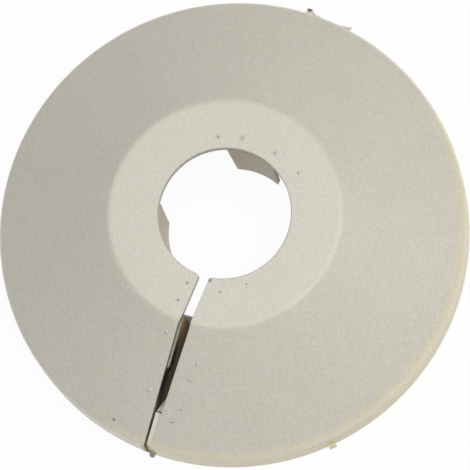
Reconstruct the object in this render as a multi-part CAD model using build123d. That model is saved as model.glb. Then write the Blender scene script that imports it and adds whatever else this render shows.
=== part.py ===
"""Split escutcheon: a moulded plastic cover plate that springs open and closes round a tube at a wall.

The whole plate is one flexible moulding. Millimetres and degrees. +Z points away from the wall along
the tube, z = 0 is the wall, the origin is on the tube's axis, and the slit runs along -Y.
"""
from build123d import *
import os
from math import atan2, cos, radians, sin, tan

# Plate: a dished disc with a flat boss round the tube
plate_diameter = 57.15
plate_height = 12.95
boss_diameter = 28.1
shell_wall = 1.0
rim_corner_height = 4.1
shoulder_round = 1.05
boss_round = 1.4
least_round = 0.25

# Bore for the tube, with its mouth eased
tube_diameter = 15.9
bore_clearance = 0.08
bore_mouth_chamfer = 0.1

# Spring tabs that hang from the bore and bear on the tube
tab_angles = [87.0, 210.5, 329.5]
tab_clearance = 0.03
tab_thickness = 0.6
tab_sweep = 42.0
tab_tip_height = 2.2
tab_side_draft = 0.25
tab_tip_round = 0.5

# Slit through one side of the plate: even across the boss, flared at the boss's edge, then narrowing to the
# rim, and a little off the radius, so that it starts on the +X side and ends on the -X side
slit_width_on_boss = 1.27
slit_width_on_cone = 1.5
slit_width_at_rim = 0.9
slit_flare = 1.3
slit_shift_at_bore = 0.43
slit_shift_at_rim = -0.42
slit_mouth_round = 0.4

# End walls that close the hollow on both sides of the slit; one stands out as a ledge under the lip
end_wall = 1.0
end_wall_top_radius = 13.3
end_wall_lean = 10.0
ledge_width = 0.22
ledge_end_radius = 19.0
ledge_run_out = 1.0

# Closing pad on one side of the slit, near the rim
pad_start_radius = 24.4
pad_gap = 0.32
pad_drop = 0.12
pad_ramp = 1.9
pad_ramp_drop = 0.3
pad_groove_width = 0.22
pad_groove_depth = 0.5

# Small conical pits left in the boss by the mould's vents: distance from the axis, angle
boss_pits = [
    (9.43, 115.0),
    (9.44, 97.3),
    (9.48, 70.2),
    (10.05, 48.2),
    (9.60, 262.6),
    (11.92, 262.6),
    (9.70, 287.4),
    (9.16, 307.0),
]
pit_diameter = 0.32
pit_depth = 0.25

# Gate stubs left on the rim: angle, how far each stands out, its width
gate_stubs = [(92.2, 1.3, 0.8), (269.8, 0.5, 0.6), (314.6, 0.5, 0.95)]
gate_stub_height = 0.8
gate_stub_lift = 0.1
gate_stub_round = 0.22

# Sizes that follow from the ones above
plate_radius = plate_diameter / 2
boss_radius = boss_diameter / 2
bore_radius = tube_diameter / 2 + bore_clearance
tab_radius = tube_diameter / 2 + tab_clearance
cone_angle = atan2(plate_height - rim_corner_height, plate_radius - boss_radius)
flare_radius = end_wall_top_radius + slit_flare
beyond_plate = plate_radius + boss_radius
LEFT, RIGHT = -1, 1


def dish(inset):
    """The solid under the plate's outer skin, moved inwards by inset everywhere but at the wall."""
    radius = plate_radius - inset
    top = plate_height - inset
    boss = boss_radius - inset * tan(cone_angle / 2)
    corner = plate_height - (inset + sin(cone_angle) * (radius - boss_radius)) / cos(cone_angle)
    outline = make_face(Polyline((0, 0), (radius, 0), (radius, corner), (boss, top), (0, top), close=True))
    for place, rounding in (((radius, corner), shoulder_round), ((boss, top), boss_round)):
        if rounding - inset > least_round:
            vertex = outline.vertices().sort_by_distance(place)[0]
            outline = fillet(vertex, rounding - inset)
    return revolve(Plane.XZ * outline, Axis.Z)


def slit_half_width(radius):
    """Half the slit's width at a distance from the tube's axis, the short flare apart."""
    if radius <= end_wall_top_radius:
        return slit_width_on_boss / 2
    share = (radius - flare_radius) / (plate_radius - flare_radius)
    return (slit_width_on_cone + share * (slit_width_at_rim - slit_width_on_cone)) / 2


def slit_edge(radius, side):
    """Where the slit's left or right edge lies across the radius, at a distance from the tube's axis."""
    share = (radius - bore_radius) / (plate_radius - bore_radius)
    middle = slit_shift_at_bore + share * (slit_shift_at_rim - slit_shift_at_bore)
    return middle + side * slit_half_width(radius)


def slit_plan(stations, spare):
    """The slit's plan through a list of distances from the axis, made wider on both sides by spare."""
    left = [(slit_edge(radius, LEFT) - spare, -radius) for radius in stations]
    right = [(slit_edge(radius, RIGHT) + spare, -radius) for radius in stations]
    return make_face(Polyline(*left, *reversed(right), close=True))


def slit_block(spare):
    """A tall block over the whole slit, made wider on both sides by spare."""
    stations = [0, end_wall_top_radius, flare_radius, beyond_plate]
    return extrude(slit_plan(stations, spare), beyond_plate, both=True)


def end_wall_block():
    """The web under the shell along the slit, before the slit parts it into two walls."""
    foot = end_wall_top_radius - plate_height * tan(radians(end_wall_lean))
    side = Polyline(
        (-end_wall_top_radius, plate_height),
        (-foot, 0),
        (-beyond_plate, 0),
        (-beyond_plate, plate_height),
        close=True,
    )
    web = extrude(Plane.YZ * make_face(side), beyond_plate, both=True)
    return web & slit_block(end_wall)


def lip_ledge():
    """The low step under the slit's left lip, where the end wall stands out into the slit."""
    run_out_radius = ledge_end_radius + ledge_run_out
    root = end_wall / 2
    plan = Polyline(
        (slit_edge(end_wall_top_radius, LEFT) - root, -end_wall_top_radius),
        (slit_edge(end_wall_top_radius, LEFT), -end_wall_top_radius),
        (slit_edge(flare_radius, LEFT) + ledge_width, -flare_radius),
        (slit_edge(ledge_end_radius, LEFT) + ledge_width, -ledge_end_radius),
        (slit_edge(run_out_radius, LEFT), -run_out_radius),
        (slit_edge(run_out_radius, LEFT) - root, -run_out_radius),
        close=True,
    )
    return extrude(make_face(plan), plate_height) & dish(shell_wall) & end_wall_block()


def spring_tab(angle):
    """One curved tab hanging from the boss at the bore, narrower and rounded at its tip."""
    root = plate_height - shell_wall / 2
    sleeve_height = root - tab_tip_height
    sleeve = Cylinder(tab_radius + tab_thickness, sleeve_height) - Cylinder(tab_radius, sleeve_height)
    sleeve = Pos(0, 0, tab_tip_height + sleeve_height / 2) * sleeve
    half_root = (tab_radius + tab_thickness / 2) * sin(radians(tab_sweep / 2))
    half_tip = half_root - tab_side_draft
    outline = make_face(
        Polyline(
            (-half_root, root),
            (half_root, root),
            (half_tip, tab_tip_height),
            (-half_tip, tab_tip_height),
            close=True,
        )
    )
    tips = outline.vertices().group_by(Axis.Y)[0]
    outline = fillet(tips, tab_tip_round)
    outward = Plane(origin=(0, 0, 0), x_dir=(0, 1, 0), z_dir=(1, 0, 0))
    blade = extrude(outward * outline, beyond_plate)
    return Rot(0, 0, angle) * (sleeve & blade)


def slit_mouth():
    """The slit across the boss, with the two corners where it opens into the bore eased."""
    plan = Circle(bore_radius) + slit_plan([0, end_wall_top_radius], 0)
    for side in (LEFT, RIGHT):
        corner = (slit_edge(bore_radius, side), -bore_radius)
        plan = fillet(plan.vertices().sort_by_distance(corner)[0], slit_mouth_round)
    return Pos(0, 0, plate_height) * extrude(plan, shell_wall, both=True)


def closing_pad():
    """The low pad that narrows the slit to a hair gap, with a sunk ramp and a groove at its inner end."""
    ramp_radius = pad_start_radius - pad_ramp
    root = end_wall / 2
    pad_plan = Polyline(
        (slit_edge(pad_start_radius, RIGHT) + root, -pad_start_radius),
        (slit_edge(pad_start_radius, LEFT) + pad_gap, -pad_start_radius),
        (slit_edge(beyond_plate, LEFT) + pad_gap, -beyond_plate),
        (slit_edge(beyond_plate, RIGHT) + root, -beyond_plate),
        close=True,
    )
    ramp_plan = Polyline(
        (slit_edge(ramp_radius, RIGHT) + root, -ramp_radius),
        (slit_edge(ramp_radius, RIGHT), -ramp_radius),
        (slit_edge(pad_start_radius, LEFT) + pad_gap, -pad_start_radius),
        (slit_edge(pad_start_radius, RIGHT) + root, -pad_start_radius),
        close=True,
    )
    pad = extrude(make_face(pad_plan), plate_height) & dish(pad_drop)
    ramp = extrude(make_face(ramp_plan), plate_height) & dish(pad_ramp_drop)
    groove_length = slit_edge(pad_start_radius, RIGHT) - slit_edge(pad_start_radius, LEFT)
    groove = Box(groove_length, pad_groove_width, beyond_plate)
    groove = Pos(slit_edge(pad_start_radius, RIGHT) - groove_length / 2, -pad_start_radius, 0) * groove
    return (pad + ramp) - (groove - dish(pad_drop + pad_groove_depth))


def boss_pit(radius, angle):
    """The cone that sinks one small pit into the top of the boss."""
    cone = Cone(0, pit_diameter, 2 * pit_depth)
    return Rot(0, 0, angle) * Pos(radius, 0, plate_height) * cone


def gate_stub(angle, proud, width):
    """A small trimmed gate left standing on the rim, clear of the wall."""
    root = shell_wall / 2
    stub = Box(root + proud, width, gate_stub_height, align=(Align.MIN, Align.CENTER, Align.MIN))
    stub = fillet(stub.faces().sort_by(Axis.X)[-1].edges(), gate_stub_round)
    return Rot(0, 0, angle) * Pos(plate_radius - root, 0, gate_stub_lift) * stub


def escutcheon():
    """The complete moulding."""
    plate = dish(0) - (dish(shell_wall) - end_wall_block())
    for angle in tab_angles:
        plate += spring_tab(angle)
    plate -= Pos(0, 0, plate_height) * Cylinder(bore_radius, 2 * shell_wall)
    mouth = plate.edges().filter_by(GeomType.CIRCLE).group_by(Axis.Z)[-1].sort_by(SortBy.RADIUS)[0]
    plate = chamfer(mouth, bore_mouth_chamfer)
    plate -= slit_block(0) - lip_ledge()
    plate -= slit_mouth()
    plate += closing_pad()
    for pit in boss_pits:
        plate -= boss_pit(*pit)
    for stub in gate_stubs:
        plate += gate_stub(*stub)
    return plate


os.makedirs("parts", exist_ok=True)
part = escutcheon()
export_step(part, "parts/escutcheon.step")
print("solids", len(part.solids()), "volume", round(part.volume, 1))
print("box", part.bounding_box())
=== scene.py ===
"""Finishes a moulded split escutcheon: bone plastic, mould pips, flash on the rim, and a plain studio."""
from math import cos, radians, sin

import bmesh
import bpy
from bpy.props import FloatProperty, FloatVectorProperty, PointerProperty
from mathutils import Matrix, Vector


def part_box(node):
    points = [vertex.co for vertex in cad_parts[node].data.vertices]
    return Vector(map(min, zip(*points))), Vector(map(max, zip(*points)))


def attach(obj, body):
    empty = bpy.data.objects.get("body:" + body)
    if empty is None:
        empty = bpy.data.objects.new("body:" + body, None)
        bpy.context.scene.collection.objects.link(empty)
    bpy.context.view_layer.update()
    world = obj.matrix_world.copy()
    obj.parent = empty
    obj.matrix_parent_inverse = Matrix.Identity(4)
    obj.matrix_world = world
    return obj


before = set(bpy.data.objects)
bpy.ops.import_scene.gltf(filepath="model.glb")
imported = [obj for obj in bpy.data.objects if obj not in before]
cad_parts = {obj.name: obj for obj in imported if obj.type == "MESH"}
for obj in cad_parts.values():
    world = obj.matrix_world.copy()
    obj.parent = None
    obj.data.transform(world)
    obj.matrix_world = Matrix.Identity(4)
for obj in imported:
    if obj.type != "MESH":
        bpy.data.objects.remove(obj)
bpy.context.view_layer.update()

bl_info = {
    "name": "Split escutcheon finish",
    "version": (1, 0, 0),
    "blender": (4, 5, 0),
    "location": "3D View > Sidebar > Escutcheon",
    "description": "Gives a moulded split escutcheon its plastic, mould marks, studio light and camera",
    "category": "Object",
}

MM = 0.001
BODY = "root"
NODE = "escutcheon"
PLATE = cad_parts[NODE]
PLATE_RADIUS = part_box(NODE)[1].x
PLATE_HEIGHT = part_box(NODE)[1].z
WHITE = (1.0, 1.0, 1.0)

# The slit's middle line: its sideways shift and its distance from the tube's axis at the bore and at the rim
SLIT_INNER = (0.43 * MM, 8.03 * MM)
SLIT_OUTER = (-0.42 * MM, PLATE_RADIUS)

# Two distances from the tube's axis on the cone, and a side of it with no marks, which give its slope
CONE_STATIONS = (17 * MM, 26 * MM)
CLEAR_SIDE = radians(45)

# The side of the rim where the lamps' warm light is painted on most, as an angle from +X
LIT_SIDE = radians(335)

# The pairs below say where a finish comes in: the place where it is absent, then the place where it is full

# Rim: its inner and outer edge from the tube's axis, and the reach of its cream, which is painted warm light,
# towards the lit side
RIM_INNER = (26.5 * MM, 27.0 * MM)
RIM_OUTER = (28.8 * MM, 28.62 * MM)
CREAM_REACH = (2 * MM, 14 * MM)

# Painted highlight on the shoulder above the rim: the heights of its two edges
SHOULDER_LOWER = (3.0 * MM, 3.5 * MM)
SHOULDER_UPPER = (4.4 * MM, 4.0 * MM)

# Boss's flat face, which gets a painted sheen: depth under it
BOSS_FACE = (0.12 * MM, 0.0)

# Tanned bore: distance from the tube's axis, and height
BORE_WALL = (8.95 * MM, 8.65 * MM)
BORE_MOUTH = (12.3 * MM, 11.9 * MM)

# Pinkish tint with a painted highlight on the edge of the closing pad: sideways from the slit's middle line,
# along the slit, from the tube's axis
PAD_LEFT = (-0.4 * MM, -0.3 * MM)
PAD_RIGHT = (0.5 * MM, 0.0)
PAD_INNER = (24.4 * MM, 24.6 * MM)
PAD_OUTER = (28.3 * MM, 27.6 * MM)

# Slit's walls: sideways from the slit's middle line, and along the slit
WALL_SIDES = (0.95 * MM, 0.8 * MM)
WALL_INNER = (12.9 * MM, 13.3 * MM)

# Painted shade line on the slit's lip: depth under the plate's skin, and outer end from the tube's axis
SHADE_LINE_DEPTH = (0.14 * MM, 0.26 * MM)
SHADE_LINE_OUTER = (24.6 * MM, 22.6 * MM)

# Ledge under the lip: depth under the plate's skin, and the share of the painted shade line that is missing
# there
LEDGE_DEPTH = (0.85 * MM, 0.98 * MM)
LEDGE_UNSHADED = 0.45

# Painted shade under the lip, from the tube's axis: it starts higher past the ledge and thins to a share at
# the pad
PAST_LEDGE = (18.8 * MM, 20.2 * MM)
SHORT_OF_PAD = (24.6 * MM, 21.4 * MM)
SHADE_AT_PAD = 0.4

# Black painted shade: depth under the shade's edge; mottled painted shade: depth under the plate's skin;
# umber, painted dim light at the inner end: distance from the tube's axis
BLACK_DEPTH = (0.0, 0.35 * MM)
MOTTLE_DEPTH = (2.6 * MM, 4.4 * MM)
UMBER_OUTER = (17.6 * MM, 14.4 * MM)

# Lumps in the painted shade: their width, and how far they shift the edges of the black shade and of the
# mottled shade
LUMP_WIDTH = 0.4 * MM
BLACK_SHIFT = 0.1 * MM
MOTTLE_SHIFT = 5 * MM

# Noise: its mean, how rough it is, and its detail for drifting colour, for grain and for lumps of painted
# shade
NOISE_MEAN = 0.5
NOISE_ROUGHNESS = 0.55
CLOUD_DETAIL = 2.0
GRAIN_DETAIL = 3.0
LUMP_DETAIL = 3.0

# Plastic: refractive index, and how far red, green and blue light spread in it
PLASTIC_IOR = 1.5
LIGHT_SPREAD = (1.0, 0.75, 0.45)

# Roughness of the rim's gloss, and how much the grain changes the plastic's roughness
GLOSS_ROUGHNESS = 0.25
GRAIN_ROUGHNESS = 0.16

# Dark spots: distance from the tube's axis, angle from +X, height, reach and darkness, in mm and degrees
DARK_SPOTS = [
    (29.7, 92.2, 0.75, 0.42, 0.95),
    (28.3, 268.75, 3.7, 0.42, 1.0),
    (8.4, 278.4, 12.8, 0.38, 0.6),
    (27.35, 258.9, 4.85, 0.28, 0.5),
]

# Painted shade in the boss's pits: distance from the tube's axis, angle from +X, reach, darkness, in mm and
# degrees
PIT_SHADES = [
    (9.43, 115.0, 0.55, 0.12),
    (9.44, 97.3, 0.6, 0.12),
    (9.48, 70.2, 0.55, 0.12),
    (10.05, 48.2, 0.3, 0.12),
    (9.6, 262.6, 0.36, 0.14),
    (11.92, 262.6, 0.4, 0.12),
    (9.7, 287.4, 0.28, 0.1),
]

# Share of a spot's reach that is fully dark
SPOT_CORE = 0.5

# Softboxes: colour, width, distance from the plate, side they stand on from +X, and elevation above the floor
SOFTBOXES = {
    "overhead": (WHITE, 0.9, 0.9, radians(135.4), radians(90)),
    "fill": (WHITE, 0.35, 0.4, radians(268), radians(20)),
    "side": ((1.0, 0.98, 0.92), 0.16, 0.35, radians(24), radians(56)),
}

# Pips on the cone beside the slit: distance from the tube's axis and angle from +X, in mm and degrees
CONE_PIPS = [
    (15.82, 264.1),
    (18.22, 279.2),
    (19.98, 277.3),
    (23.29, 276.2),
    (24.93, 274.3),
    (22.51, 265.4),
]


class PlasticFinish(bpy.types.PropertyGroup):
    """The plastic's colours and surface, and the painted light on its rim, shoulder and boss."""

    bone: FloatVectorProperty(
        name="Bone",
        description="Colour of the plastic on the boss and the cone",
        subtype="COLOR",
        size=3,
        min=0.0,
        max=1.0,
        default=(0.63, 0.605, 0.534),
    )
    # Painted warm light: creamier, lighter plastic low on the rim's lit side
    lit_cream: FloatVectorProperty(
        name="Cream",
        description="Warmer colour of the plastic low on the rim's yellowed side",
        subtype="COLOR",
        size=3,
        min=0.0,
        max=1.0,
        default=(0.775, 0.675, 0.43),
    )
    # Painted highlight on the rounded shoulder above the rim
    shoulder_highlight: FloatVectorProperty(
        name="Pale edge",
        description="Colour of the rubbed shoulder above the rim",
        subtype="COLOR",
        size=3,
        min=0.0,
        max=1.0,
        default=(0.85, 0.79, 0.65),
    )
    cream_height: FloatProperty(
        name="Cream height",
        description="Height above the wall at which the cream has faded out",
        subtype="DISTANCE",
        unit="LENGTH",
        default=4.95 * MM,
    )
    cream_fade: FloatProperty(
        name="Cream fade",
        description="Height over which the cream fades out",
        subtype="DISTANCE",
        unit="LENGTH",
        default=1.2 * MM,
    )
    # Painted sheen: lightens the boss's flat face
    boss_sheen: FloatProperty(
        name="Boss paleness",
        description="How much paler the boss's flat face is than the cone",
        subtype="FACTOR",
        min=0.0,
        max=1.0,
        default=0.035,
    )
    clouding: FloatProperty(
        name="Clouding",
        description="How much the colour drifts from place to place",
        subtype="FACTOR",
        min=0.0,
        max=1.0,
        default=0.05,
    )
    cloud_size: FloatProperty(
        name="Cloud size",
        description="Distance over which the colour drifts",
        subtype="DISTANCE",
        unit="LENGTH",
        default=7 * MM,
    )
    grain_size: FloatProperty(
        name="Grain size",
        description="Width of one grain of the matte mould texture",
        subtype="DISTANCE",
        unit="LENGTH",
        default=0.3 * MM,
    )
    grain_depth: FloatProperty(
        name="Grain depth",
        description="Depth of the matte mould texture",
        subtype="DISTANCE",
        unit="LENGTH",
        default=0.03 * MM,
    )
    grain_shade: FloatProperty(
        name="Grain shade",
        description="How much the grain lightens and darkens the colour",
        subtype="FACTOR",
        min=0.0,
        max=1.0,
        default=0.4,
    )
    roughness: FloatProperty(
        name="Roughness",
        description="Mean roughness of the surface",
        subtype="FACTOR",
        min=0.0,
        max=1.0,
        default=0.43,
    )
    rim_gloss: FloatProperty(
        name="Rim gloss",
        description="How glossy the smooth rim is over its matte plastic",
        subtype="FACTOR",
        min=0.0,
        max=1.0,
        default=0.4,
    )
    translucency: FloatProperty(
        name="Translucency",
        description="Share of light that soaks into the plastic",
        subtype="FACTOR",
        min=0.0,
        max=1.0,
        default=0.35,
    )
    scatter_depth: FloatProperty(
        name="Scatter depth",
        description="How far light travels inside the plastic",
        subtype="DISTANCE",
        unit="LENGTH",
        default=1.2 * MM,
    )


class TintsAndPaintedShade(bpy.types.PropertyGroup):
    """A tan tint in the bore, a tint and painted highlight on the closing pad, painted shade in the slit, and
    the black of the dark spots.
    """

    bore_tan: FloatVectorProperty(
        name="Bore tan",
        description="Tint of the plastic inside the bore and on the tabs",
        subtype="COLOR",
        size=3,
        min=0.0,
        max=1.0,
        default=(0.99, 0.88, 0.7),
    )
    # Pinkish tint on the closing pad's edge, lightened as a painted highlight
    pad_tint_and_highlight: FloatVectorProperty(
        name="Pad blush",
        description="Colour of the rubbed edge of the closing pad",
        subtype="COLOR",
        size=3,
        min=0.0,
        max=1.0,
        default=(0.86, 0.78, 0.67),
    )
    # Black for the painted shade under the slit's lip and in the boss's pits, and for the dark spots
    shade_and_spot_black: FloatVectorProperty(
        name="Soot",
        description="Darkest dirt, just under the slit's lip and on the dark spots",
        subtype="COLOR",
        size=3,
        min=0.0,
        max=1.0,
        default=(0.006, 0.005, 0.004),
    )
    # Painted mottled shade deeper in the slit
    mottled_shade: FloatVectorProperty(
        name="Grime",
        description="Patchy dirt deeper in the slit",
        subtype="COLOR",
        size=3,
        min=0.0,
        max=1.0,
        default=(0.62, 0.54, 0.42),
    )
    # Painted dim brown light at the slit's inner end
    dim_lit_umber: FloatVectorProperty(
        name="Umber",
        description="Brown dirt at the slit's inner end",
        subtype="COLOR",
        size=3,
        min=0.0,
        max=1.0,
        default=(0.58, 0.45, 0.29),
    )
    # Painted shade: a darker line on the slit's lip and ledge
    lip_shade_line: FloatVectorProperty(
        name="Lip film",
        description="Tint of the thin film of dirt on the slit's lip and ledge",
        subtype="COLOR",
        size=3,
        min=0.0,
        max=1.0,
        default=(0.5, 0.47, 0.42),
    )
    # Depths at which the painted shade in the slit starts, beside the ledge and further out
    lip_depth: FloatProperty(
        name="Lip depth",
        description="Depth under the plate's skin at which the dirt starts beside the slit's ledge",
        subtype="DISTANCE",
        unit="LENGTH",
        default=1.25 * MM,
    )
    edge_depth: FloatProperty(
        name="Edge depth",
        description="Depth under the plate's skin at which the dirt starts further out",
        subtype="DISTANCE",
        unit="LENGTH",
        default=0.22 * MM,
    )


class MouldMarks(bpy.types.PropertyGroup):
    """Small marks that the mould leaves on the plate."""

    pip_diameter: FloatProperty(
        name="Pip diameter",
        description="Width of a pip at its foot",
        subtype="DISTANCE",
        unit="LENGTH",
        default=0.5 * MM,
    )
    pip_height: FloatProperty(
        name="Pip height",
        description="How far a pip stands off the cone",
        subtype="DISTANCE",
        unit="LENGTH",
        default=0.22 * MM,
    )
    flash_start: FloatProperty(
        name="Flash start",
        description="Angle from +X at which the flash sliver starts",
        subtype="ANGLE",
        unit="ROTATION",
        default=radians(81.4),
    )
    flash_end: FloatProperty(
        name="Flash end",
        description="Angle from +X at which the flash sliver runs into the gate stub",
        subtype="ANGLE",
        unit="ROTATION",
        default=radians(92.0),
    )
    flash_reach: FloatProperty(
        name="Flash reach",
        description="How far the flash sliver stands out from the rim at its two ends",
        subtype="DISTANCE",
        unit="LENGTH",
        default=1.12 * MM,
    )
    flash_waist: FloatProperty(
        name="Flash waist",
        description="How far the flash sliver stands out from the rim in its middle",
        subtype="DISTANCE",
        unit="LENGTH",
        default=0.66 * MM,
    )
    bridge_start: FloatProperty(
        name="Bridge start",
        description="Angle from +X at which the thin flash across the slit's outer end starts",
        subtype="ANGLE",
        unit="ROTATION",
        default=radians(267.1),
    )
    bridge_end: FloatProperty(
        name="Bridge end",
        description="Angle from +X at which the thin flash across the slit's outer end stops",
        subtype="ANGLE",
        unit="ROTATION",
        default=radians(270.0),
    )
    bridge_reach: FloatProperty(
        name="Bridge reach",
        description="How far the flash across the slit's outer end stands out from the rim",
        subtype="DISTANCE",
        unit="LENGTH",
        default=0.06 * MM,
    )
    flash_thickness: FloatProperty(
        name="Flash thickness",
        description="Thickness of both flash slivers at the rim",
        subtype="DISTANCE",
        unit="LENGTH",
        default=0.2 * MM,
    )


class StudioStage(bpy.types.PropertyGroup):
    """Camera, lights and floor."""

    camera_tilt: FloatProperty(
        name="Camera tilt",
        description="Angle between the camera's line of sight and the tube's axis",
        subtype="ANGLE",
        unit="ROTATION",
        default=radians(14.3),
    )
    camera_turn: FloatProperty(
        name="Camera turn",
        description="Side that the camera leans to, from +X",
        subtype="ANGLE",
        unit="ROTATION",
        default=radians(315.4),
    )
    camera_roll: FloatProperty(
        name="Camera roll",
        description="Where the lean points in the picture, from the picture's right",
        subtype="ANGLE",
        unit="ROTATION",
        default=radians(295.7),
    )
    camera_distance: FloatProperty(
        name="Camera distance",
        description="Distance from the camera to the plate's origin",
        subtype="DISTANCE",
        unit="LENGTH",
        default=0.6667,
    )
    camera_lens: FloatProperty(
        name="Lens",
        description="Focal length in millimetres",
        subtype="DISTANCE_CAMERA",
        default=418.2,
    )
    overhead_power: FloatProperty(
        name="Overhead power",
        description="Power of the softbox above the plate",
        subtype="POWER",
        unit="POWER",
        default=5.3,
    )
    fill_power: FloatProperty(
        name="Fill power",
        description="Power of the low softbox that faces the slit's end of the rim",
        subtype="POWER",
        unit="POWER",
        default=0.16,
    )
    side_power: FloatProperty(
        name="Side power",
        description="Power of the small warm softbox at the side",
        subtype="POWER",
        unit="POWER",
        default=0.45,
    )
    room_light: FloatProperty(
        name="Room light",
        description="Strength of the even light from all round",
        default=0.02,
        min=0.0,
    )
    floor_colour: FloatVectorProperty(
        name="Floor colour",
        description="Colour of the floor",
        subtype="COLOR",
        size=3,
        min=0.0,
        max=1.0,
        default=(0.9, 0.9, 0.9),
    )
    floor_glow: FloatProperty(
        name="Floor glow",
        description="Share of plain white in the floor, which fades the plate's shadow",
        subtype="FACTOR",
        min=0.0,
        max=1.0,
        default=0.95,
    )


class Value:
    """A shader socket that Python arithmetic turns into Math nodes."""

    def __init__(self, graph, socket):
        self.graph = graph
        self.socket = socket

    def __add__(self, other):
        return self.graph.math("ADD", self, other)

    def __sub__(self, other):
        return self.graph.math("SUBTRACT", self, other)

    def __rsub__(self, other):
        return self.graph.math("SUBTRACT", other, self)

    def __mul__(self, other):
        return self.graph.math("MULTIPLY", self, other)

    __radd__ = __add__
    __rmul__ = __mul__


class Graph:
    """The node tree of a material or of the world."""

    def __init__(self, owner):
        owner.use_nodes = True
        self.tree = owner.node_tree
        self.tree.nodes.clear()

    def node(self, kind, settings=None, sockets=None):
        """Adds a node: first its settings, then the values or links of its sockets."""
        made = self.tree.nodes.new(kind)
        for name, value in (settings or {}).items():
            setattr(made, name, value)
        for key, value in (sockets or {}).items():
            self.feed(self.socket(made.inputs, key), value)
        return {out.name: Value(self, out) for out in made.outputs if out.enabled}

    def socket(self, sockets, key):
        """The socket at an index, or the first one in use with a name."""
        if isinstance(key, int):
            return sockets[key]
        return next(found for found in sockets if found.name == key and found.enabled)

    def feed(self, socket, value):
        """Links a socket to a value, or sets it."""
        if isinstance(value, Value):
            self.tree.links.new(value.socket, socket)
        else:
            socket.default_value = value

    def math(self, operation, first, second=0.0):
        """One step of arithmetic on one or two values."""
        return self.node("ShaderNodeMath", {"operation": operation}, {0: first, 1: second})["Value"]

    def distance(self, place, point):
        """How far a place is from a fixed point."""
        return self.node("ShaderNodeVectorMath", {"operation": "DISTANCE"}, {0: place, 1: point})["Value"]

    def noise(self, place, width, detail):
        """Noise about its mean whose lumps have a width in metres."""
        sockets = {"Vector": place, "Scale": 1 / width, "Detail": detail, "Roughness": NOISE_ROUGHNESS}
        return self.node("ShaderNodeTexNoise", sockets=sockets)["Fac"]

    def fade(self, value, ends):
        """A smooth step from 0 at the first end to 1 at the second."""
        sockets = {"Value": value, "From Min": ends[0], "From Max": ends[1]}
        return self.node("ShaderNodeMapRange", {"interpolation_type": "SMOOTHSTEP"}, sockets)["Result"]

    def mix(self, factor, first, second, blend="MIX"):
        """A mix of two colours."""
        settings = {"data_type": "RGBA", "blend_type": blend}
        return self.node("ShaderNodeMix", settings, {"Factor": factor, "A": first, "B": second})["Result"]


def opaque(colour):
    """A colour with nothing showing through."""
    return (*colour, 1.0)


def point_at(radius, angle, height):
    """The point at a distance from the tube's axis, an angle from +X and a height above the wall."""
    return Vector((radius * cos(angle), radius * sin(angle), height))


def seat(radius, angle):
    """The point on the plate's top at a distance and angle from the tube's axis, and the way it faces."""
    start = point_at(radius, angle, 2 * PLATE_HEIGHT)
    hit, point, normal, _ = PLATE.ray_cast(start, Vector((0, 0, -1)))
    if not hit:
        raise RuntimeError(f"no plate under radius {radius}, angle {angle}")
    return point, normal


class PlatePlace:
    """Where a shaded point lies on the plate."""

    def __init__(self, graph):
        self.point = graph.node("ShaderNodeTexCoord")["Object"]
        parts = graph.node("ShaderNodeSeparateXYZ", sockets={"Vector": self.point})
        self.height = parts["Z"]
        self.outward = -1 * parts["Y"]
        self.radius = graph.math("SQRT", parts["X"] * parts["X"] + parts["Y"] * parts["Y"])
        # Distance towards the rim's lit side, where the painted warm light lies
        self.toward_lit_side = cos(LIT_SIDE) * parts["X"] + sin(LIT_SIDE) * parts["Y"]
        inner, outer = CONE_STATIONS
        inner_height, outer_height = (seat(radius, CLEAR_SIDE)[0].z for radius in CONE_STATIONS)
        slope = (inner_height - outer_height) / (outer - inner)
        skin = graph.math("MINIMUM", PLATE_HEIGHT, inner_height + slope * inner - slope * self.radius)
        self.depth = skin - self.height
        self.below_boss = PLATE_HEIGHT - self.height
        lean = (SLIT_OUTER[0] - SLIT_INNER[0]) / (SLIT_OUTER[1] - SLIT_INNER[1])
        self.beside_slit = parts["X"] - (SLIT_INNER[0] - lean * SLIT_INNER[1] + lean * self.outward)


def add_painted_slit_shade(graph, at, tints_and_shade, colour):
    """Paints shade in the slit: a darker line on the slit's lip, and under it black shade, mottled shade
    deeper down and dim brown light at the inner end.
    """
    lumps = graph.noise(at.point, LUMP_WIDTH, LUMP_DETAIL) - NOISE_MEAN
    walls = graph.fade(graph.math("ABSOLUTE", at.beside_slit), WALL_SIDES)
    walls = walls * graph.fade(at.outward, WALL_INNER)
    shade_line = walls * graph.fade(at.depth, SHADE_LINE_DEPTH) * graph.fade(at.radius, SHADE_LINE_OUTER)
    shade_line = shade_line * (1 - LEDGE_UNSHADED * graph.fade(at.depth, LEDGE_DEPTH))
    colour = graph.mix(shade_line, colour, opaque(tints_and_shade.lip_shade_line), "MULTIPLY")
    past_ledge = graph.fade(at.radius, PAST_LEDGE)
    edge = tints_and_shade.lip_depth + (tints_and_shade.edge_depth - tints_and_shade.lip_depth) * past_ledge
    below = graph.fade(at.depth + BLACK_SHIFT * lumps - edge, BLACK_DEPTH)
    short_of_pad = graph.fade(at.radius, SHORT_OF_PAD)
    amount = walls * below * (SHADE_AT_PAD + (1 - SHADE_AT_PAD) * short_of_pad)
    patchy = graph.fade(at.depth + MOTTLE_SHIFT * lumps, MOTTLE_DEPTH)
    slit_shade = graph.mix(patchy, opaque(tints_and_shade.shade_and_spot_black), opaque(tints_and_shade.mottled_shade))
    inner_end = graph.fade(at.radius, UMBER_OUTER)
    slit_shade = graph.mix(inner_end, slit_shade, opaque(tints_and_shade.dim_lit_umber))
    return graph.mix(amount, colour, slit_shade), amount


def rim_cover(graph, at, finish):
    """1 low on the rim, and 0 on the cone and on what stands out from the rim."""
    low = graph.fade(at.height, (finish.cream_height, finish.cream_height - finish.cream_fade))
    return low * graph.fade(at.radius, RIM_INNER) * graph.fade(at.radius, RIM_OUTER)


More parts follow.
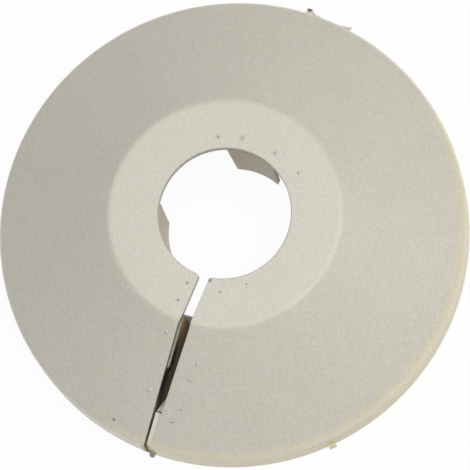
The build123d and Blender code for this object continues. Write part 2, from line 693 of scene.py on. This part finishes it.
def colour_with_painted_light(graph, at, finish, rim, grain):
    """The plastic's drifting, grained colour, with painted warm light low on the rim's lit side, a painted
    highlight on the shoulder and a painted sheen on the boss.
    """
    painted_warm_light = rim * graph.fade(at.toward_lit_side, CREAM_REACH)
    colour = graph.mix(painted_warm_light, opaque(finish.bone), opaque(finish.lit_cream))
    shoulder = graph.fade(at.height, SHOULDER_LOWER) * graph.fade(at.height, SHOULDER_UPPER)
    shoulder = shoulder * graph.fade(at.radius, RIM_INNER)
    colour = graph.mix(shoulder, colour, opaque(finish.shoulder_highlight))
    clouds = graph.noise(at.point, finish.cloud_size, CLOUD_DETAIL)
    drift = 1 + finish.clouding * (clouds - NOISE_MEAN) + finish.grain_shade * (grain - NOISE_MEAN)
    drift = drift + finish.boss_sheen * graph.fade(at.below_boss, BOSS_FACE)
    shade = graph.node("ShaderNodeCombineColor", sockets={"Red": drift, "Green": drift, "Blue": drift})
    return graph.mix(1.0, colour, shade["Color"], "MULTIPLY")


def add_bore_tan_and_pad_highlight(graph, at, tints_and_shade, colour):
    """Tans the bore and its tabs, and gives the edge of the closing pad a pinkish tint with a painted
    highlight.
    """
    in_bore = graph.fade(at.radius, BORE_WALL) * graph.fade(at.height, BORE_MOUTH)
    colour = graph.mix(in_bore, colour, opaque(tints_and_shade.bore_tan), "MULTIPLY")
    across = graph.fade(at.beside_slit, PAD_LEFT) * graph.fade(at.beside_slit, PAD_RIGHT)
    along = graph.fade(at.outward, PAD_INNER) * graph.fade(at.radius, PAD_OUTER)
    return graph.mix(across * along, colour, opaque(tints_and_shade.pad_tint_and_highlight))


def add_spots(graph, at, tints_and_shade, colour):
    """Darkens the dark spots towards black, and paints shade in the boss's pits."""
    top = PLATE_HEIGHT / MM
    pits = [(radius, angle, top, reach, darkness) for radius, angle, reach, darkness in PIT_SHADES]
    for radius, angle, height, reach, darkness in DARK_SPOTS + pits:
        away = graph.distance(at.point, point_at(radius * MM, radians(angle), height * MM))
        spot = graph.fade(away, (reach * MM, SPOT_CORE * reach * MM))
        colour = graph.mix(darkness * spot, colour, opaque(tints_and_shade.shade_and_spot_black))
    return colour


def bone_plastic(finish, tints_and_shade):
    """Matte moulded plastic with a fine grain and a glossier rim, a tan bore and dark spots, and painted
    light and painted shade in places.
    """
    material = bpy.data.materials.new("bone_plastic")
    graph = Graph(material)
    at = PlatePlace(graph)
    grain = graph.noise(at.point, finish.grain_size, GRAIN_DETAIL)
    rim = rim_cover(graph, at, finish)
    colour = colour_with_painted_light(graph, at, finish, rim, grain)
    colour = add_bore_tan_and_pad_highlight(graph, at, tints_and_shade, colour)
    colour, shaded = add_painted_slit_shade(graph, at, tints_and_shade, colour)
    colour = add_spots(graph, at, tints_and_shade, colour)
    bump = graph.node(
        "ShaderNodeBump",
        sockets={"Strength": 1.0, "Distance": finish.grain_depth, "Height": grain},
    )["Normal"]
    surface = graph.node(
        "ShaderNodeBsdfPrincipled",
        sockets={
            "Base Color": colour,
            "Roughness": finish.roughness + GRAIN_ROUGHNESS * (grain - NOISE_MEAN) + shaded,
            "IOR": PLASTIC_IOR,
            "Subsurface Weight": finish.translucency,
            "Subsurface Radius": LIGHT_SPREAD,
            "Subsurface Scale": finish.scatter_depth,
            "Coat Weight": finish.rim_gloss * rim,
            "Coat Roughness": GLOSS_ROUGHNESS,
            "Normal": bump,
        },
    )["BSDF"]
    graph.node("ShaderNodeOutputMaterial", sockets={"Surface": surface})
    return material


def add_piece(name, mesh, material):
    """A new piece of the plate with the plate's own plastic."""
    mesh.materials.append(material)
    mesh.shade_smooth()
    piece = bpy.data.objects.new(name, mesh)
    bpy.context.collection.objects.link(piece)
    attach(piece, BODY)
    return piece


def plastic():
    """The plate's finished plastic, which its marks share."""
    found = bpy.data.materials.get("bone_plastic")
    if found is None:
        raise RuntimeError("finish the plate before its marks")
    return found


class ESCUTCHEON_OT_finish_plate(bpy.types.Operator):
    """Give the plate its bone plastic"""

    bl_idname = "escutcheon.finish_plate"
    bl_label = "Finish plate"

    def execute(self, context):
        carried_over = PLATE.material_slots[0].material
        carried_over.name = "carried_over"
        PLATE.material_slots[0].material = bone_plastic(context.scene.plastic_finish, context.scene.slit_dirt)
        return {"FINISHED"}


class ESCUTCHEON_OT_add_pips(bpy.types.Operator):
    """Set the mould's small pips on the cone beside the slit"""

    bl_idname = "escutcheon.add_pips"
    bl_label = "Add pips"

    SEGMENTS_AROUND = 20
    SEGMENTS_UP = 12

    def execute(self, context):
        marks = context.scene.mould_marks
        shape = bmesh.new()
        for radius, angle in CONE_PIPS:
            point, normal = seat(radius * MM, radians(angle))
            turn = normal.to_track_quat("Z", "Y").to_matrix().to_4x4()
            stretch = Matrix.Diagonal((marks.pip_diameter / 2, marks.pip_diameter / 2, marks.pip_height, 1))
            bmesh.ops.create_uvsphere(
                shape,
                u_segments=self.SEGMENTS_AROUND,
                v_segments=self.SEGMENTS_UP,
                radius=1,
                matrix=Matrix.Translation(point) @ turn @ stretch,
            )
        mesh = bpy.data.meshes.new("mould_pips")
        shape.to_mesh(mesh)
        shape.free()
        add_piece("mould_pips", mesh, plastic())
        return {"FINISHED"}


class ESCUTCHEON_OT_add_flash(bpy.types.Operator):
    """Add the two thin slivers of flash on the foot of the rim"""

    bl_idname = "escutcheon.add_flash"
    bl_label = "Add flash"

    STEPS = 40
    ROOT_DEPTH = 0.5 * MM
    LIFT = 0.15 * MM
    RAGGED = 0.03
    RAGGED_WAVES = [(17, 0), (41, 1)]
    START_THICKNESS = 0.6
    EDGE_RISES = (0.3, 0.5)
    EASE_WIDTH = 0.03 * MM
    EASE_SEGMENTS = 2

    def execute(self, context):
        marks = context.scene.mould_marks
        shape = bmesh.new()
        slivers = [
            (marks.flash_start, marks.flash_end, marks.flash_reach, marks.flash_waist),
            (marks.bridge_start, marks.bridge_end, marks.bridge_reach, marks.bridge_reach),
        ]
        for sliver in slivers:
            self.add_sliver(shape, marks.flash_thickness, *sliver)
        bmesh.ops.recalc_face_normals(shape, faces=shape.faces)
        mesh = bpy.data.meshes.new("rim_flash")
        shape.to_mesh(mesh)
        shape.free()
        flash = add_piece("rim_flash", mesh, plastic())
        ease = flash.modifiers.new("eased edges", "BEVEL")
        ease.width = self.EASE_WIDTH
        ease.segments = self.EASE_SEGMENTS
        return {"FINISHED"}

    def add_sliver(self, shape, thickness, start, end, reach, waist):
        """One thin sliver along the foot of the rim, which stands out more at its ends than in its middle."""
        sections = []
        for step in range(self.STEPS + 1):
            share = step / self.STEPS
            ragged = 1 + self.RAGGED * sum(sin(pace * share + lead) for pace, lead in self.RAGGED_WAVES)
            proud = (waist + (reach - waist) * (2 * share - 1) ** 2) * ragged
            thick = thickness * (self.START_THICKNESS + (1 - self.START_THICKNESS) * share)
            corners = self.corners(start + share * (end - start), proud, thick)
            sections.append([shape.verts.new(corner) for corner in corners])
        for here, there in zip(sections, sections[1:]):
            for first in range(len(here)):
                second = (first + 1) % len(here)
                shape.faces.new((here[first], here[second], there[second], there[first]))
        shape.faces.new(sections[0])
        shape.faces.new(sections[-1])

    def corners(self, angle, proud, thick):
        """The corners of a sliver's section at an angle from +X, which is thinner at its outer edge."""
        outward = Vector((cos(angle), sin(angle), 0))
        inner = PLATE_RADIUS - self.ROOT_DEPTH
        outer = PLATE_RADIUS + proud
        lower, upper = self.EDGE_RISES
        section = [(inner, 0.0), (outer, lower), (outer, upper), (inner, 1.0)]
        return [outward * radius + Vector((0, 0, self.LIFT + rise * thick)) for radius, rise in section]


def backdrop_rays(graph):
    """1 for the rays that should see plain white: camera, glossy and transmission rays."""
    path = graph.node("ShaderNodeLightPath")
    return path["Is Camera Ray"] + path["Is Glossy Ray"] + path["Is Transmission Ray"]


def pale_floor(colour, glow):
    """A pale floor that keeps a faint shadow."""
    material = bpy.data.materials.new("pale_floor")
    graph = Graph(material)
    plain = graph.node("ShaderNodeBsdfDiffuse", sockets={"Color": opaque(colour)})["BSDF"]
    white = graph.node("ShaderNodeEmission", sockets={"Color": opaque(WHITE), "Strength": 1.0})["Emission"]
    share = glow * backdrop_rays(graph)
    surface = graph.node("ShaderNodeMixShader", sockets={0: share, 1: plain, 2: white})["Shader"]
    graph.node("ShaderNodeOutputMaterial", sockets={"Surface": surface})
    return material


def white_room(strength):
    """Even light from all round, and plain white behind the plate."""
    world = bpy.data.worlds.new("white_room")
    graph = Graph(world)
    even = graph.node("ShaderNodeBackground", sockets={"Color": opaque(WHITE), "Strength": strength})
    white = graph.node("ShaderNodeBackground", sockets={"Color": opaque(WHITE), "Strength": 1.0})
    surface = graph.node(
        "ShaderNodeMixShader",
        sockets={0: backdrop_rays(graph), 1: even["Background"], 2: white["Background"]},
    )["Shader"]
    graph.node("ShaderNodeOutputWorld", sockets={"Surface": surface})
    return world


def add_softbox(name, power, colour, width, distance, turn, elevation):
    """Adds a round softbox that faces the plate from one side of it and an elevation above the floor."""
    lamp = bpy.data.lights.new(name, "AREA")
    lamp.shape = "DISK"
    lamp.size = width
    lamp.color = colour
    lamp.energy = power
    light = bpy.data.objects.new(name, lamp)
    bpy.context.collection.objects.link(light)
    away = Vector((cos(elevation) * cos(turn), cos(elevation) * sin(turn), sin(elevation)))
    light.location = away * distance
    light.rotation_mode = "QUATERNION"
    light.rotation_quaternion = away.to_track_quat("Z", "Y")
    light.visible_camera = False


class ESCUTCHEON_OT_set_stage(bpy.types.Operator):
    """Set the floor, the white room, three softboxes and the camera"""

    bl_idname = "escutcheon.set_stage"
    bl_label = "Set stage"

    FLOOR_SIZE = 6.0
    FLOOR_DROP = 0.02 * MM
    OFF_CENTRE = (-0.101 * MM, 0.244 * MM)
    CLIP_START = 0.05
    CLIP_END = 20.0

    def execute(self, context):
        stage = context.scene.studio_stage
        self.lay_floor(stage)
        context.scene.world = white_room(stage.room_light)
        for name, place in SOFTBOXES.items():
            add_softbox(f"{name}_softbox", getattr(stage, f"{name}_power"), *place)
        self.place_camera(context.scene, stage)
        context.scene.view_settings.view_transform = "Standard"
        return {"FINISHED"}

    def lay_floor(self, stage):
        """Lays the floor a hair under the plate."""
        shape = bmesh.new()
        bmesh.ops.create_grid(shape, x_segments=1, y_segments=1, size=self.FLOOR_SIZE / 2)
        mesh = bpy.data.meshes.new("floor")
        shape.to_mesh(mesh)
        shape.free()
        mesh.materials.append(pale_floor(stage.floor_colour, stage.floor_glow))
        floor = bpy.data.objects.new("floor", mesh)
        floor.location.z = -self.FLOOR_DROP
        bpy.context.collection.objects.link(floor)

    def place_camera(self, scene, stage):
        """Places the camera above the plate, leaning to one side and rolled."""
        camera = bpy.data.cameras.new("camera")
        camera.lens = stage.camera_lens
        camera.clip_start = self.CLIP_START
        camera.clip_end = self.CLIP_END
        viewer = bpy.data.objects.new("camera", camera)
        bpy.context.collection.objects.link(viewer)
        turn = (
            Matrix.Rotation(stage.camera_turn, 3, "Z")
            @ Matrix.Rotation(stage.camera_tilt, 3, "Y")
            @ Matrix.Rotation(-stage.camera_roll, 3, "Z")
        )
        place = turn @ Vector((*self.OFF_CENTRE, stage.camera_distance))
        viewer.matrix_world = Matrix.LocRotScale(place, turn, None)
        scene.camera = viewer


class ESCUTCHEON_PT_sidebar(bpy.types.Panel):
    """Lists the steps and their settings"""

    bl_label = "Split escutcheon"
    bl_idname = "ESCUTCHEON_PT_sidebar"
    bl_space_type = "VIEW_3D"
    bl_region_type = "UI"
    bl_category = "Escutcheon"

    def draw(self, context):
        for group_name, steps in STEPS_BY_GROUP.items():
            box = self.layout.box()
            group = getattr(context.scene, group_name)
            for name in group.__annotations__:
                box.prop(group, name)
            for step in steps:
                box.operator(step.bl_idname)


STEPS_BY_GROUP = {
    "plastic_finish": [ESCUTCHEON_OT_finish_plate],
    "slit_dirt": [],
    "mould_marks": [ESCUTCHEON_OT_add_pips, ESCUTCHEON_OT_add_flash],
    "studio_stage": [ESCUTCHEON_OT_set_stage],
}
GROUPS = {
    "plastic_finish": PlasticFinish,
    "slit_dirt": TintsAndPaintedShade,
    "mould_marks": MouldMarks,
    "studio_stage": StudioStage,
}
OPERATORS = [step for steps in STEPS_BY_GROUP.values() for step in steps]
CLASSES = [*GROUPS.values(), *OPERATORS, ESCUTCHEON_PT_sidebar]


def register():
    """Adds the settings, the steps and the panel to Blender."""
    for kind in CLASSES:
        bpy.utils.register_class(kind)
    for name, group in GROUPS.items():
        setattr(bpy.types.Scene, name, PointerProperty(type=group))


def unregister():
    """Takes the settings, the steps and the panel out of Blender."""
    for name in GROUPS:
        delattr(bpy.types.Scene, name)
    for kind in reversed(CLASSES):
        bpy.utils.unregister_class(kind)


def main():
    """Finishes the plate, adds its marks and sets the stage."""
    register()
    bpy.ops.escutcheon.finish_plate()
    bpy.ops.escutcheon.add_pips()
    bpy.ops.escutcheon.add_flash()
    bpy.ops.escutcheon.set_stage()


if __name__ == "__main__":
    main()
